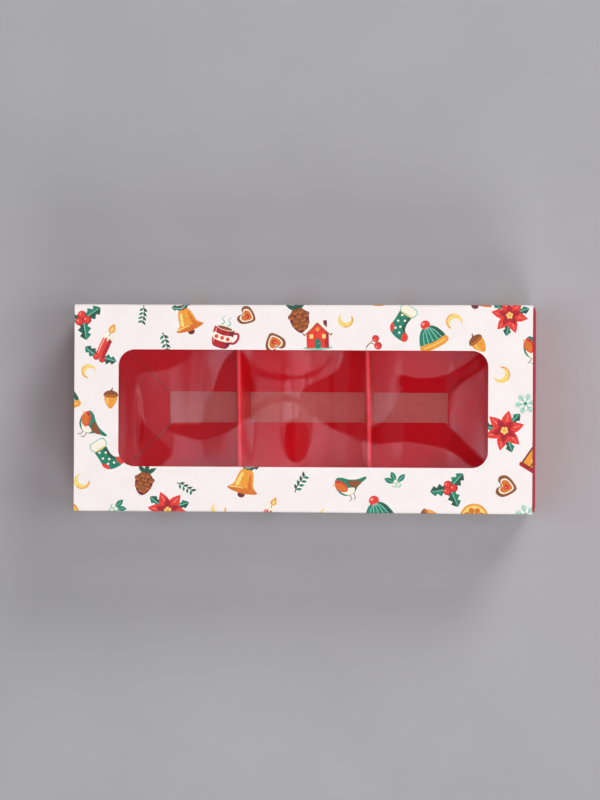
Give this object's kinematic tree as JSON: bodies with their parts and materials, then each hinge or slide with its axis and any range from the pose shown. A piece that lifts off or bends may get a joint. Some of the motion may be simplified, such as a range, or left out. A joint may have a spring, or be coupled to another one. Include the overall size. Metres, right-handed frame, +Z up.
{
  "type": "window sleeve sweet box",
  "caption": "Folding card sweet box: a printed window sleeve over a rolled-wall tray that slides out of either end, with loose V-folded dividers.",
  "frame": {"origin": "middle of the sleeve's base, on the surface that the box stands on", "axes": "+X along the box, the way the tray slides, towards the end that stands out a little; +Y across the box to its back; +Z up through the window"},
  "size_m": [0.1812, 0.082, 0.045],
  "materials": {
    "printed_card": "satin printed folding boxboard",
    "bare_board": "matt unprinted grey-white back",
    "rose_board": "matt unprinted back, rose from the red pulp in it",
    "window_film": "clear glossy film",
    "red_card": "satin red printed boxboard",
    "divider_card": "satin red printed boxboard"
  },
  "bodies": {
    "sleeve": {"sleeve_top_panel": "printed_card", "sleeve_front_panel": "printed_card", "sleeve_back_panel": "printed_card", "sleeve_base_panel": "printed_card", "sleeve_glue_flap": "bare_board", "window_film": "window_film"},
    "tray": {"tray_base_panel": "rose_board", "tray_back_outer_wall": "red_card", "tray_front_outer_wall": "red_card", "tray_right_outer_wall": "red_card", "tray_left_outer_wall": "red_card", "tray_back_inner_wall": "red_card", "tray_front_inner_wall": "red_card", "tray_right_inner_wall": "red_card", "tray_left_inner_wall": "red_card", "tray_back_right_tab": "red_card", "tray_front_right_tab": "red_card", "tray_front_left_tab": "red_card", "tray_back_left_tab": "red_card", "tray_back_floor_flap": "red_card", "tray_front_floor_flap": "red_card"},
    "right_floor_flap": {"tray_right_floor_flap": "red_card"},
    "left_floor_flap": {"tray_left_floor_flap": "red_card"},
    "left_divider": {"left_divider": "divider_card"},
    "right_divider": {"right_divider": "divider_card"}
  },
  "joints": [
    {"name": "tray_slide", "type": "slide", "parent": "sleeve", "child": "tray", "axis": [1, 0, 0], "range_m": [-0.1812, 0.1788]},
    {"name": "right_flap_hinge", "type": "hinge", "parent": "tray", "child": "right_floor_flap", "pos_m": [0.08937, 0, 0.00162], "axis": [0, 1, 0], "range_deg": [0, 90]},
    {"name": "left_flap_hinge", "type": "hinge", "parent": "tray", "child": "left_floor_flap", "pos_m": [-0.08697, 0, 0.00162], "axis": [0, -1, 0], "range_deg": [0, 90]},
    {"name": "left_divider_slide", "type": "slide", "parent": "tray", "child": "left_divider", "axis": [1, 0, 0], "range_m": [-0.025, 0.02]},
    {"name": "right_divider_slide", "type": "slide", "parent": "tray", "child": "right_divider", "axis": [1, 0, 0], "range_m": [-0.02, 0.025]}
  ]
}
